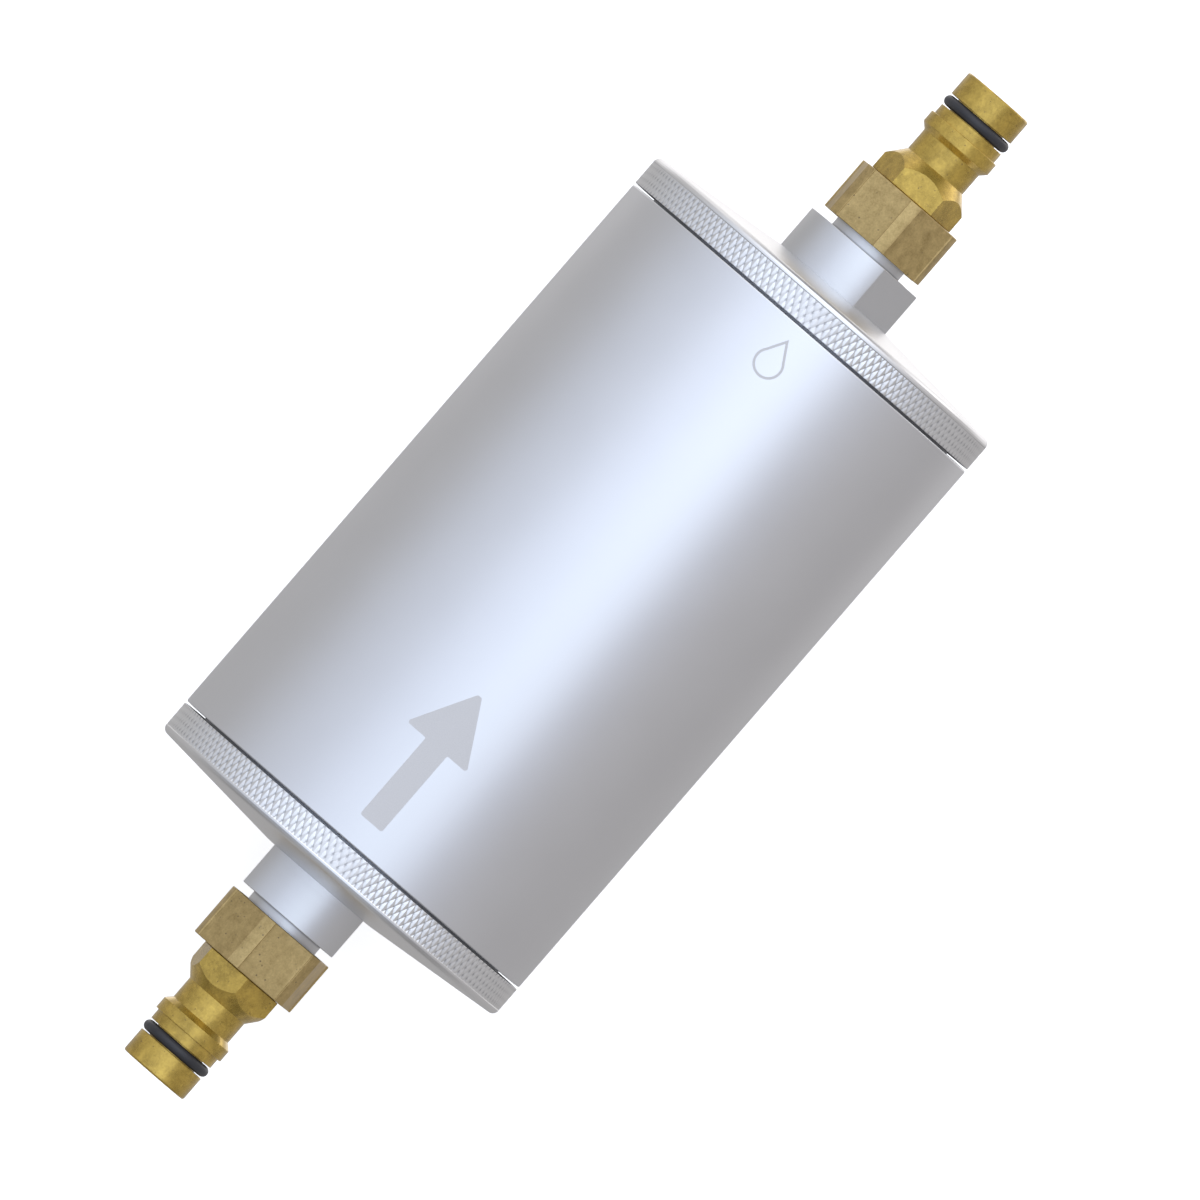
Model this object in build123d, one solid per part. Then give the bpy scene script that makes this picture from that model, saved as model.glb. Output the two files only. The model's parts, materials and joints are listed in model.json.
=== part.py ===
"""Inline water filter: an aluminium housing with two knurled screw caps, a plug-in carbon
cartridge, and a brass quick-connect plug held on each cap by a union nut.

Millimetres. The flow axis is X: water enters at -X and leaves at +X. The origin is the middle of
the housing on the flow axis, and +Z is up when the filter lies on its side. Every end piece is
drawn at the outlet end; the inlet pieces are the same shapes turned half a turn about Z.
"""

import os
from math import cos, radians, tan

from build123d import *

# ---- Housing and caps -----------------------------------------------------------------------
HOUSING_DIAMETER = 90.0
TUBE_LENGTH = 140.0
TUBE_BORE = 80.0
THREAD_BORE = 82.2               # plain bore that clears the cap's thread crests
THREAD_BORE_DEPTH = 9.5
TUBE_EDGE = 0.4                  # rounding of the tube's outer edges
CAP_GAP = 0.5                    # slit that stays open between tube and cap rim

CAP_RIM_WIDTH = 7.2
CAP_RIM_ROUNDING = 1.6
CAP_CONE_RISE = 2.8              # how far the end face rises from rim to boss
CAP_WALL = 4.7                   # rim's outer corner to the cup's floor
CAP_THREAD_DIAMETER = 81.8       # M82 x 2, crests drawn under size
CAP_THREAD_PITCH = 2.0
CAP_THREAD_DEPTH = 1.0
CAP_THREAD_INSET = 1.0           # plain length left at each end of the thread
CAP_SPIGOT_LENGTH = 15.9         # how far a cap reaches into the tube
CAP_NOSE_DIAMETER = 79.5
CAP_CUP_DIAMETER = 71.0
CAP_CUP_ROUNDING = 1.5
CAP_SEAL_SECTION = 3.0           # housing O-ring
CAP_SEAL_DIAMETER = 79.8
CAP_SEAL_SETBACK = 2.6           # nose end to the middle of the O-ring
SEAL_PLAY = 0.05                 # clear depth under an O-ring
SEAL_SIDE_PLAY = 0.3             # clear width each side of an O-ring

BOSS_DIAMETER = 28.3
BOSS_FLATS = 24.0
BOSS_LENGTH = 9.9
EDGE = 0.2                       # rounding of a broken edge

# ---- Union and quick-connect plug --------------------------------------------------------------
STUB_THREAD_DIAMETER = 20.955    # G 1/2
STUB_THREAD_PITCH = 25.4 / 14
STUB_THREAD_DEPTH = 1.16
STUB_RELIEF_DIAMETER = 17.9
STUB_RELIEF_LENGTH = 2.3
STUB_LENGTH = 8.6
STUB_BORE = 12.0
THREAD_RUN_OUT = 0.2

GASKET_DIAMETER = 18.4
GASKET_THICKNESS = 2.0

NUT_FLATS = 23.6
NUT_CORNERS = 25.8               # hexagon corners, turned off
NUT_RIB_DIAMETER = 26.4          # narrow raised rib on each corner
NUT_RIB_WIDTH = 2.9
NUT_RIB_SHORT = 0.35             # a rib stops this short of each end face
NUT_CHAMFER = 0.3
NUT_MOUTH_CHAMFER = 0.5
NUT_LENGTH = 12.3
NUT_STANDOFF = 2.0               # gap between boss and nut
NUT_BORE = 21.3                  # plain bore that clears the stub's thread crests
NUT_NECK = 15.4                  # hole in the nut's inner shoulder
NUT_PLAY = 0.1                   # end play between nut and plug

PLUG_FLANGE_DIAMETER = 18.3
PLUG_FLANGE_THICKNESS = 1.4
PLUG_SHANK = 15.0
PLUG_HEX_FLATS = 18.0
PLUG_HEX_LENGTH = 7.7
PLUG_CONE_ANGLE = 39.4           # the hexagon's turned shoulder, from the axis
PLUG_GROOVE_DIAMETER = 14.7      # groove that the hose coupling's claws hold
PLUG_GROOVE_LENGTH = 5.1
PLUG_COLLAR_DIAMETER = 17.3
PLUG_COLLAR_LENGTH = 2.7
PLUG_NOSE_DIAMETER = 16.0
PLUG_SEAL_LAND = 2.3
PLUG_SEAL_SLOT = 2.9
PLUG_TIP_LENGTH = 5.7
PLUG_TIP_ROUNDING = 0.5
PLUG_BORE = 9.0
PLUG_BORE_CHAMFER = 0.8
PLUG_SEAL_SECTION = 2.4          # quick-connect O-ring
PLUG_SEAL_DIAMETER = 16.8

# ---- Cartridge -----------------------------------------------------------------------------------
CARTRIDGE_DIAMETER = 68.0
CARTRIDGE_LENGTH = 132.0
CARTRIDGE_CAP_THICKNESS = 4.0
CARTRIDGE_CAP_ROUNDING = 1.0
CARTRIDGE_LIP = 5.0
NET_DIAMETER = 66.0
FLEECE_DIAMETER = 64.4
CARBON_DIAMETER = 61.0
POST_FLEECE_DIAMETER = 24.0
CORE_DIAMETER = 22.0
CORE_BORE = 19.0
CORE_HOLE = 3.0
CORE_HOLE_ROWS = 14
CORE_HOLES_A_ROW = 8
SPIGOT_DIAMETER = 17.6
SPIGOT_BORE = 11.0
SPIGOT_LENGTH = 18.0
SPIGOT_ROUNDING = 0.6
SPIGOT_SEAL_SECTION = 2.0
SPIGOT_SEAL_DIAMETER = 17.9
SPIGOT_SEAL_SETBACKS = (4.0, 8.5)    # cup floor to the middle of each spigot O-ring
SOCKET_DIAMETER = 18.0
SOCKET_DEPTH = 13.0
RIB_COUNT = 6
RIB_THICKNESS = 2.0
RIB_INNER, RIB_OUTER = 8.0, 30.0
RIB_CLEARANCE = 0.3

# How far each end piece is turned about the flow axis, outlet then inlet, in degrees
BOSS_TURN = (54.4, 90.0)
NUT_TURN = (7.5, 11.5)
HEX_TURN = (30.0, -10.5)
OUTLET, INLET = 0, 1

# ---- Places along the flow axis, from the middle of the housing ------------------------------
TUBE_END = TUBE_LENGTH / 2
RIM_FACE = TUBE_END + CAP_GAP
RIM_OUTER = RIM_FACE + CAP_RIM_WIDTH
BOSS_START = RIM_OUTER + CAP_CONE_RISE
BOSS_END = BOSS_START + BOSS_LENGTH
CUP_FLOOR = RIM_OUTER - CAP_WALL
CAP_THREAD_START = TUBE_END - THREAD_BORE_DEPTH + CAP_THREAD_INSET
CAP_THREAD_END = RIM_FACE - CAP_THREAD_INSET
NOSE_END = RIM_FACE - CAP_SPIGOT_LENGTH
CAP_SEAL_AT = NOSE_END + CAP_SEAL_SETBACK
SOCKET_END = CUP_FLOOR + SOCKET_DEPTH
STUB_THREAD_START = BOSS_END + STUB_RELIEF_LENGTH
STUB_END = BOSS_END + STUB_LENGTH
GASKET_END = STUB_END + GASKET_THICKNESS
FLANGE_END = GASKET_END + PLUG_FLANGE_THICKNESS
NUT_SHOULDER = FLANGE_END + NUT_PLAY
NUT_START = BOSS_END + NUT_STANDOFF
NUT_END = NUT_START + NUT_LENGTH
HEX_START = NUT_END + NUT_PLAY
CONE_END = HEX_START + PLUG_HEX_LENGTH
GROOVE_END = CONE_END + PLUG_GROOVE_LENGTH
COLLAR_START = GROOVE_END + (PLUG_COLLAR_DIAMETER - PLUG_GROOVE_DIAMETER) / 2
COLLAR_END = COLLAR_START + PLUG_COLLAR_LENGTH
SLOT_START = COLLAR_END + PLUG_SEAL_LAND
SLOT_END = SLOT_START + PLUG_SEAL_SLOT
PLUG_END = SLOT_END + PLUG_TIP_LENGTH
CARTRIDGE_END = CARTRIDGE_LENGTH / 2
MEDIA_END = CARTRIDGE_END - CARTRIDGE_CAP_THICKNESS
SPIGOT_END = CARTRIDGE_END + SPIGOT_LENGTH
SPIGOT_SEALS_AT = tuple(CUP_FLOOR + setback for setback in SPIGOT_SEAL_SETBACKS)


# ---- Drawing helpers ------------------------------------------------------------------------
def lathe(*corners):
    """A solid turned about the flow axis. A corner is (x, radius) or (x, radius, rounding)."""
    roundings = [corner[2] if len(corner) > 2 else 0 for corner in corners]
    outline = FilletPolyline([corner[:2] for corner in corners], radius=roundings, close=True)
    return revolve(make_face(outline), Axis.X)


def ring(start, end, inner_diameter, outer_diameter, rounding=0):
    """A plain ring or tube along the flow axis."""
    inner, outer = inner_diameter / 2, outer_diameter / 2
    corners = [(start, inner), (end, inner), (end, outer), (start, outer)]
    return lathe(*[(x, radius, rounding) for x, radius in corners])


def o_ring(at, section, outer_diameter):
    """A round-section seal whose middle is at x = at."""
    centre_line = (outer_diameter - section) / 2
    return revolve(Pos(at, centre_line) * Circle(section / 2), Axis.X)


def hex_bar(start, end, across_flats):
    """A hexagonal bar along the flow axis with one corner at the top."""
    section = RegularPolygon(across_flats / 2, 6, major_radius=False, rotation=90)
    return extrude(Plane.YZ.offset(start) * section, end - start)


def thread_corners(start, end, pitch, crest, depth):
    """Corners of a row of thread ridges between start and end, for a lathe outline."""
    corners = [(start, crest - depth)]
    for ridge in range(int((end - start) / pitch)):
        at = start + ridge * pitch
        corners += [
            (at + 0.4 * pitch, crest),
            (at + 0.6 * pitch, crest),
            (at + pitch, crest - depth),
        ]
    return corners


def seal_groove(at, half_width, land, floor, rounding=0):
    """Corners of an O-ring groove cut into a land, for a lathe outline that runs towards +X."""
    return [
        (at - half_width, land),
        (at - half_width, floor, rounding),
        (at + half_width, floor, rounding),
        (at + half_width, land),
    ]


def at_end(shape, end):
    """Moves an outlet piece to the end that it belongs to."""
    return Rot(0, 0, 180) * shape if end == INLET else shape


# ---- Housing ----------------------------------------------------------------------------------
def housing_tube():
    """Plain tube, bored out at both ends for the caps' threads."""
    outer, bore, thread_bore = HOUSING_DIAMETER / 2, TUBE_BORE / 2, THREAD_BORE / 2
    step = TUBE_END - THREAD_BORE_DEPTH
    lead_in = thread_bore - bore
    return lathe(
        (-TUBE_END, thread_bore, EDGE),
        (-step, thread_bore),
        (-step + lead_in, bore),
        (step - lead_in, bore),
        (step, thread_bore),
        (TUBE_END, thread_bore, EDGE),
        (TUBE_END, outer, TUBE_EDGE),
        (-TUBE_END, outer, TUBE_EDGE),
    )


def cap_spigot_corners():
    """The cap's part inside the tube, from its nose to the rim: O-ring groove, then thread."""
    nose, cup = CAP_NOSE_DIAMETER / 2, CAP_CUP_DIAMETER / 2
    floor = CAP_SEAL_DIAMETER / 2 - CAP_SEAL_SECTION - SEAL_PLAY
    half_width = CAP_SEAL_SECTION / 2 + SEAL_SIDE_PLAY
    crest = CAP_THREAD_DIAMETER / 2
    return [
        (CUP_FLOOR, cup, CAP_CUP_ROUNDING),
        (NOSE_END, cup, EDGE),
        (NOSE_END, nose, 2 * EDGE),
        *seal_groove(CAP_SEAL_AT, half_width, nose, floor, EDGE),
        (CAP_THREAD_START - THREAD_RUN_OUT, nose),
        *thread_corners(CAP_THREAD_START, CAP_THREAD_END, CAP_THREAD_PITCH, crest, CAP_THREAD_DEPTH),
        (RIM_FACE, nose),
    ]


def cap_outside_corners():
    """The cap's visible outline, from the rim to the stub's mouth."""
    rim, boss, relief = HOUSING_DIAMETER / 2, BOSS_DIAMETER / 2, STUB_RELIEF_DIAMETER / 2
    crest = STUB_THREAD_DIAMETER / 2
    thread_end = STUB_END - THREAD_RUN_OUT
    return [
        (RIM_FACE, rim, EDGE),
        (RIM_OUTER, rim, CAP_RIM_ROUNDING),
        (BOSS_START, boss, EDGE),
        (BOSS_END, boss, EDGE),
        (BOSS_END, relief),
        (STUB_THREAD_START - THREAD_RUN_OUT, relief),
        *thread_corners(STUB_THREAD_START, thread_end, STUB_THREAD_PITCH, crest, STUB_THREAD_DEPTH),
        (STUB_END, crest - STUB_THREAD_DEPTH),
        (STUB_END, STUB_BORE / 2),
    ]


def end_cap(end):
    """Screw cap with knurl band, cone face, spanner boss and threaded stub."""
    bore_corners = [(CUP_FLOOR, STUB_BORE / 2)]
    if end == OUTLET:
        bore_corners = [
            (SOCKET_END, STUB_BORE / 2),
            (SOCKET_END, SOCKET_DIAMETER / 2),
            (CUP_FLOOR, SOCKET_DIAMETER / 2, 2 * EDGE),
        ]
    cap = lathe(*cap_spigot_corners(), *cap_outside_corners(), *bore_corners)
    cut_height = BOSS_DIAMETER - BOSS_FLATS
    cut = Pos((BOSS_START + BOSS_END) / 2, 0, (BOSS_FLATS + cut_height) / 2)
    cut *= Box(BOSS_LENGTH, BOSS_DIAMETER, cut_height)
    for side in (0, 180):
        cap -= Rot(BOSS_TURN[end] + side, 0, 0) * cut
    return at_end(cap, end)


def cap_seal(end):
    """Housing O-ring in the cap's nose."""
    return at_end(o_ring(CAP_SEAL_AT, CAP_SEAL_SECTION, CAP_SEAL_DIAMETER), end)


# ---- Union and quick-connect plug --------------------------------------------------------------
def gasket(end):
    """Flat gasket between the stub and the plug's foot."""
    return at_end(ring(STUB_END, GASKET_END, STUB_BORE, GASKET_DIAMETER, EDGE), end)


def chamfered_rod(start, end, radius, chamfer):
    """A solid rod with both ends chamfered, used to trim a bar."""
    return lathe(
        (start, 0),
        (start, radius - chamfer),
        (start + chamfer, radius),
        (end - chamfer, radius),
        (end, radius - chamfer),
        (end, 0),
    )


def union_nut(end):
    """Hexagon nut with a raised rib on each corner, thread bore and inner shoulder."""
    body = hex_bar(NUT_START, NUT_END, NUT_FLATS)
    body &= chamfered_rod(NUT_START, NUT_END, NUT_CORNERS / 2, NUT_CHAMFER)
    rib_root, crest = NUT_BORE / 2 + 1, NUT_RIB_DIAMETER / 2
    rib = Pos((NUT_START + NUT_END) / 2, 0, (rib_root + crest) / 2)
    rib *= Box(NUT_LENGTH, NUT_RIB_WIDTH, crest - rib_root)
    rib &= chamfered_rod(NUT_START + NUT_RIB_SHORT, NUT_END - NUT_RIB_SHORT, crest, NUT_CHAMFER)
    body += [Rot(turn, 0, 0) * rib for turn in range(0, 360, 60)]
    bore = lathe(
        (NUT_START, 0),
        (NUT_START, NUT_BORE / 2 + NUT_MOUTH_CHAMFER),
        (NUT_START + NUT_MOUTH_CHAMFER, NUT_BORE / 2),
        (NUT_SHOULDER, NUT_BORE / 2),
        (NUT_SHOULDER, NUT_NECK / 2),
        (NUT_END, NUT_NECK / 2),
        (NUT_END, 0),
    )
    return at_end(Rot(NUT_TURN[end], 0, 0) * (body - bore), end)


def plug(end):
    """Quick-connect plug: flared foot, shank, hexagon, claw groove, collar, seal slot and tip."""
    bore, nose, flange = PLUG_BORE / 2, PLUG_NOSE_DIAMETER / 2, PLUG_FLANGE_DIAMETER / 2
    groove, collar = PLUG_GROOVE_DIAMETER / 2, PLUG_COLLAR_DIAMETER / 2
    slot_floor = PLUG_SEAL_DIAMETER / 2 - PLUG_SEAL_SECTION
    slot_middle, slot_half = (SLOT_START + SLOT_END) / 2, PLUG_SEAL_SLOT / 2
    turned = lathe(
        (GASKET_END, bore, EDGE),
        (GASKET_END, flange, EDGE),
        (FLANGE_END, flange, EDGE),
        (FLANGE_END, PLUG_SHANK / 2),
        (HEX_START, PLUG_SHANK / 2),
        (HEX_START, groove),
        (GROOVE_END, groove),
        (COLLAR_START, collar, EDGE),
        (COLLAR_END, collar, EDGE),
        (COLLAR_END, nose),
        *seal_groove(slot_middle, slot_half, nose, slot_floor),
        (PLUG_END, nose, PLUG_TIP_ROUNDING),
        (PLUG_END, bore + PLUG_BORE_CHAMFER),
        (PLUG_END - PLUG_BORE_CHAMFER, bore),
    )
    corner = PLUG_HEX_FLATS / 2 / cos(radians(30))
    cone_start = CONE_END - (corner - groove) / tan(radians(PLUG_CONE_ANGLE))
    hexagon = Rot(HEX_TURN[end], 0, 0) * hex_bar(HEX_START, CONE_END, PLUG_HEX_FLATS)
    hexagon &= lathe(
        (HEX_START, bore),
        (HEX_START, corner),
        (cone_start, corner),
        (CONE_END, groove),
        (CONE_END, bore),
    )
    return at_end(turned + hexagon, end)


def plug_seal(end):
    """O-ring near the plug's tip."""
    return at_end(o_ring((SLOT_START + SLOT_END) / 2, PLUG_SEAL_SECTION, PLUG_SEAL_DIAMETER), end)


# ---- Cartridge -----------------------------------------------------------------------------------
def cartridge_disc(centre):
    """Outlet end disc with a lip round the wrapped carbon block, open to the centre radius."""
    outer, lip = CARTRIDGE_DIAMETER / 2, NET_DIAMETER / 2
    return lathe(
        (MEDIA_END, centre),
        (MEDIA_END, lip),
        (MEDIA_END - CARTRIDGE_LIP, lip),
        (MEDIA_END - CARTRIDGE_LIP, outer, 2 * EDGE),
        (CARTRIDGE_END, outer, CARTRIDGE_CAP_ROUNDING),
        (CARTRIDGE_END, centre),
    )


def cartridge_outlet_cap():
    """End disc with the spigot that plugs into the outlet cap."""
    bore, spigot = SPIGOT_BORE / 2, SPIGOT_DIAMETER / 2
    floor = SPIGOT_SEAL_DIAMETER / 2 - SPIGOT_SEAL_SECTION
    half_width = SPIGOT_SEAL_SECTION / 2 + EDGE
    corners = [(MEDIA_END, bore), (MEDIA_END, spigot)]
    for at in SPIGOT_SEALS_AT:
        corners += seal_groove(at, half_width, spigot, floor)
    corners += [(SPIGOT_END, spigot, SPIGOT_ROUNDING), (SPIGOT_END, bore)]
    return cartridge_disc(bore) + lathe(*corners)


def cartridge_inlet_cap():
    """Closed end disc with radial ribs that keep the inlet cap's face clear."""
    rib_end = CUP_FLOOR - RIB_CLEARANCE
    rib = Pos((MEDIA_END + rib_end) / 2, 0, (RIB_INNER + RIB_OUTER) / 2)
    rib *= Box(rib_end - MEDIA_END, RIB_THICKNESS, RIB_OUTER - RIB_INNER)
    disc = cartridge_disc(0)
    disc += [Rot(index * 360 / RIB_COUNT, 0, 0) * rib for index in range(RIB_COUNT)]
    return at_end(disc, INLET)


def core_tube():
    """Perforated tube that carries the filtered water to the spigot."""
    tube = ring(-MEDIA_END, MEDIA_END, CORE_BORE, CORE_DIAMETER)
    spacing = 2 * MEDIA_END / CORE_HOLE_ROWS
    step = 360 / CORE_HOLES_A_ROW
    drill = Cylinder(CORE_HOLE / 2, CORE_DIAMETER + 2)
    drills = []
    for row in range(CORE_HOLE_ROWS):
        at = -MEDIA_END + (row + 0.5) * spacing
        stagger = step / 2 * (row % 2)
        for hole_pair in range(CORE_HOLES_A_ROW // 2):
            drills.append(Pos(at, 0, 0) * Rot(stagger + hole_pair * step, 0, 0) * drill)
    return tube - drills


def media_sleeve(inner_diameter, outer_diameter):
    """One layer of the filter medium, as long as the space between the end discs."""
    return ring(-MEDIA_END, MEDIA_END, inner_diameter, outer_diameter)


def spigot_seal(index):
    """One of the two O-rings on the cartridge's spigot."""
    return o_ring(SPIGOT_SEALS_AT[index], SPIGOT_SEAL_SECTION, SPIGOT_SEAL_DIAMETER)


# ---- All the pieces ------------------------------------------------------------------------------
pieces = {
    "housing_tube": housing_tube(),
    "cartridge_outlet_cap": cartridge_outlet_cap(),
    "cartridge_inlet_cap": cartridge_inlet_cap(),
    "core_tube": core_tube(),
    "post_fleece": media_sleeve(CORE_DIAMETER, POST_FLEECE_DIAMETER),
    "carbon_block": media_sleeve(POST_FLEECE_DIAMETER, CARBON_DIAMETER),
    "prefilter_fleece": media_sleeve(CARBON_DIAMETER, FLEECE_DIAMETER),
    "outer_net": media_sleeve(FLEECE_DIAMETER, NET_DIAMETER),
    "spigot_seal_inner": spigot_seal(0),
    "spigot_seal_outer": spigot_seal(1),
}
for name, end in (("outlet", OUTLET), ("inlet", INLET)):
    pieces[f"{name}_cap"] = end_cap(end)
    pieces[f"{name}_cap_seal"] = cap_seal(end)
    pieces[f"{name}_gasket"] = gasket(end)
    pieces[f"{name}_nut"] = union_nut(end)
    pieces[f"{name}_plug"] = plug(end)
    pieces[f"{name}_plug_seal"] = plug_seal(end)

os.makedirs("parts", exist_ok=True)
for node, shape in pieces.items():
    export_step(shape, f"parts/{node}.step")
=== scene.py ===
# %% [markdown]
# # Inline water filter
# A filter like this sits in the hose between a tap and a caravan. An aluminium tube holds a carbon
# cartridge, a knurled cap screws into each end of the tube, and a brass union nut holds a hose plug
# on each cap. The CAD frame gives the sizes and places, and Blender makes what the eye sees: rolled
# knurling, real screw threads, rounded edges, and the finish of each metal.

# %% Load the frame
import json
from math import acos, atan2, cos, hypot, pi, radians, sin, sqrt, tan, tau

import bmesh
import bpy
from mathutils import Matrix, Vector


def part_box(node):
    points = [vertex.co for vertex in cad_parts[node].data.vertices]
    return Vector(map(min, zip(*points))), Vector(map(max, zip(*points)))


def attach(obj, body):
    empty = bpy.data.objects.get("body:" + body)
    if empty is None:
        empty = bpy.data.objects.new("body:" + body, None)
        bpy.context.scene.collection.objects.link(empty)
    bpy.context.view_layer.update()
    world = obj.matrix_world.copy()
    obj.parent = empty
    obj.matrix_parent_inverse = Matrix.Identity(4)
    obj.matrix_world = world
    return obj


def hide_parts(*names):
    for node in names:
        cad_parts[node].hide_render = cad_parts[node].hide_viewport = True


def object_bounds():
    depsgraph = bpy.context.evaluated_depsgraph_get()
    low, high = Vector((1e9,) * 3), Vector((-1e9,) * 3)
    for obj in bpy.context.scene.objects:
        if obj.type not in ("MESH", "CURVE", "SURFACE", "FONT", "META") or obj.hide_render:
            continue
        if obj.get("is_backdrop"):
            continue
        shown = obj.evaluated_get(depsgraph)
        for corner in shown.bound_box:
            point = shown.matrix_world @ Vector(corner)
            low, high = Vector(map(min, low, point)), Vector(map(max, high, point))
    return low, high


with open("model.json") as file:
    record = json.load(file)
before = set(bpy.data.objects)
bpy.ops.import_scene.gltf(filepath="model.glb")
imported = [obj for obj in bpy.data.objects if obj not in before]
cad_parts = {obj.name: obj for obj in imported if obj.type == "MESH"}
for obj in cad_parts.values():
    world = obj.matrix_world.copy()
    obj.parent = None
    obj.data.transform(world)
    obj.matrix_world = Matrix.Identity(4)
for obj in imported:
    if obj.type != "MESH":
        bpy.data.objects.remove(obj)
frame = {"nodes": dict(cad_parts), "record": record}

MM = 0.001
cad_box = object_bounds()
print("CAD box in mm:", [round(size / MM, 1) for size in cad_box[1] - cad_box[0]])

# %% [markdown]
# ## Places along the flow axis
# Water flows along X, and every end piece is the same shape at both ends, so each is drawn at the
# outlet end and turned half a turn about Z for the inlet. The main places are read from the CAD
# nodes; the small sizes between them, such as a rounding or a rim's width, are named here.

# %% Read the places
TUBE_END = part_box("housing_tube")[1].x
BODY_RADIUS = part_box("housing_tube")[1].y
NOSE_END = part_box("outlet_cap")[0].x
STUB_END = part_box("outlet_cap")[1].x
NUT_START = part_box("outlet_nut")[0].x
NUT_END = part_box("outlet_nut")[1].x
PLUG_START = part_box("outlet_plug")[0].x
PLUG_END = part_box("outlet_plug")[1].x
BOSS_END = NUT_START - 2.0 * MM
NECK_RADIUS = 8.95 * MM
CAP_GAP = 0.5 * MM
RIM_FACE = TUBE_END + CAP_GAP
EDGE = 0.2 * MM
SPOT = 0.05 * MM
KNURL_GROOVES = 168
KNURL_PITCH = 3.1 * MM
KNURL_DEPTH = 0.16 * MM
KNURL_ROWS = 7
POINTS_A_GROOVE = 4
KNURL_START = RIM_FACE + EDGE
KNURL_END = KNURL_START + KNURL_ROWS * KNURL_PITCH / POINTS_A_GROOVE
TURN_TO_INLET = Matrix.Rotation(pi, 4, "Z")
ENDS = {"outlet": Matrix.Identity(4), "inlet": TURN_TO_INLET}
print("tube ends at", round(TUBE_END / MM, 1), "plug tip at", round(PLUG_END / MM, 1))

# %% [markdown]
# ## Turned shapes
# Nearly every piece of this filter is made on a lathe, so one helper spins an outline round the
# flow axis. An outline could be spun by the Screw modifier, but a hexagon or a spanner flat needs a
# radius that changes with the angle, so the helper builds the rings of points itself and lets a
# small function trim each point. Outlines run towards +X on the outside, which turns faces outwards.

# %% Outline and ring helpers
def rounded(corners, steps=3):
    """A closed outline of (x, radius) points. A corner with a third number is rounded by it."""
    outline = []
    for index, corner in enumerate(corners):
        here = Vector(corner[:2])
        rounding = corner[2] if len(corner) > 2 else 0
        if not rounding:
            outline.append(here)
            continue
        to_last = (Vector(corners[index - 1][:2]) - here).normalized()
        to_next = (Vector(corners[(index + 1) % len(corners)][:2]) - here).normalized()
        half = to_last.angle(to_next) / 2
        centre = here + (to_last + to_next).normalized() * rounding / sin(half)
        first = here + to_last * rounding / tan(half) - centre
        last = here + to_next * rounding / tan(half) - centre
        for step in range(steps + 1):
            outline.append(centre + first.lerp(last, step / steps).normalized() * rounding)
    return outline


def circle(columns):
    """Evenly spaced angles round the axis."""
    return [tau * column / columns for column in range(columns)]


def spin(outline, angles, trim=None):
    """Rings of points round the flow axis. trim(x, radius, angle) gives a point's final radius."""
    rings = []
    for x, radius in outline:
        ring = []
        for angle in angles:
            r = trim(x, radius, angle) if trim else radius
            ring.append(Vector((x, r * cos(angle), r * sin(angle))))
        rings.append(ring)
    return rings


def skin(name, rings, diagonal=None):
    """A closed mesh over rings of points. diagonal(ring, column) says how to split a face, or None."""
    columns = len(rings[0])
    points = [point for ring in rings for point in ring]
    faces = []
    for ring in range(len(rings)):
        after = (ring + 1) % len(rings)
        for column in range(columns):
            beside = (column + 1) % columns
            a, b = ring * columns + column, ring * columns + beside
            c, d = after * columns + beside, after * columns + column
            split = diagonal(ring, column) if diagonal else None
            if split is None:
                faces.append((a, b, c, d))
            elif split:
                faces += [(a, b, c), (a, c, d)]
            else:
                faces += [(a, b, d), (b, c, d)]
    mesh = bpy.data.meshes.new(name)
    mesh.from_pydata(points, [], faces)
    return mesh


def clean(mesh, merge):
    """Merges doubled points and dissolves faces with no area."""
    work = bmesh.new()
    work.from_mesh(mesh)
    bmesh.ops.remove_doubles(work, verts=work.verts, dist=merge)
    bmesh.ops.dissolve_degenerate(work, dist=merge, edges=work.edges)
    work.to_mesh(mesh)
    work.free()
    return mesh


# %% [markdown]
# A finished piece stays at the origin with its place in its mesh, smooth but with its sharp edges
# kept. It rides on a body of the frame, names its finish, and may replace a plain CAD solid. The
# finish has the name of its slot, unless another material is given.

# %% Piece helpers
SHARP = radians(28)


def new_piece(name, mesh):
    """An object in the scene for a mesh."""
    piece = bpy.data.objects.new(name, mesh)
    bpy.context.scene.collection.objects.link(piece)
    return piece


def keep_result(piece):
    """Turns the modifiers' result into the piece's own plain mesh, and removes the modifiers."""
    graph = bpy.context.evaluated_depsgraph_get()
    mesh = bpy.data.meshes.new_from_object(piece.evaluated_get(graph))
    mesh.name = piece.name
    piece.modifiers.clear()
    piece.data = mesh


def finish_piece(piece, body, slot, replaced=(), move=None, sharp=SHARP, material=None):
    """Moves the mesh into place, gives it its slot's finish, smooths it with its sharp edges kept, parents
    it to its body and hides the CAD nodes it replaces.
    """
    if move:
        piece.data.transform(move)
    piece.data.materials.clear()
    piece.data.materials.append(material or finishes[slot])
    piece.data.shade_smooth()
    piece.data.set_sharp_from_angle(angle=sharp)
    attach(piece, body)
    if replaced:
        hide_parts(*replaced)
    print(f"{piece.name}: {len(piece.data.polygons)} faces")


# %% [markdown]
# ## Node trees
# Materials and Geometry Nodes trees are both made of nodes with sockets, so one helper adds a node
# to either kind. It takes a source for each input: another node's socket makes a link, and a plain
# value is typed in.

# %% Node helpers
def add(tree, kind, sources=(), **settings):
    """Adds a node, sets its options, and fills its inputs, by order or by name."""
    made = tree.nodes.new(kind)
    for option, value in settings.items():
        setattr(made, option, value)
    named = sources.items() if isinstance(sources, dict) else enumerate(sources)
    for key, source in named:
        if isinstance(source, bpy.types.NodeSocket):
            tree.links.new(source, made.inputs[key])
        else:
            made.inputs[key].default_value = source
    return made


def calc(tree, operation, *sources):
    """The result of a Math node."""
    return add(tree, "ShaderNodeMath", sources, operation=operation).outputs[0]


def times(tree, first, second):
    """The product of two values."""
    return calc(tree, "MULTIPLY", first, second)


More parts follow.
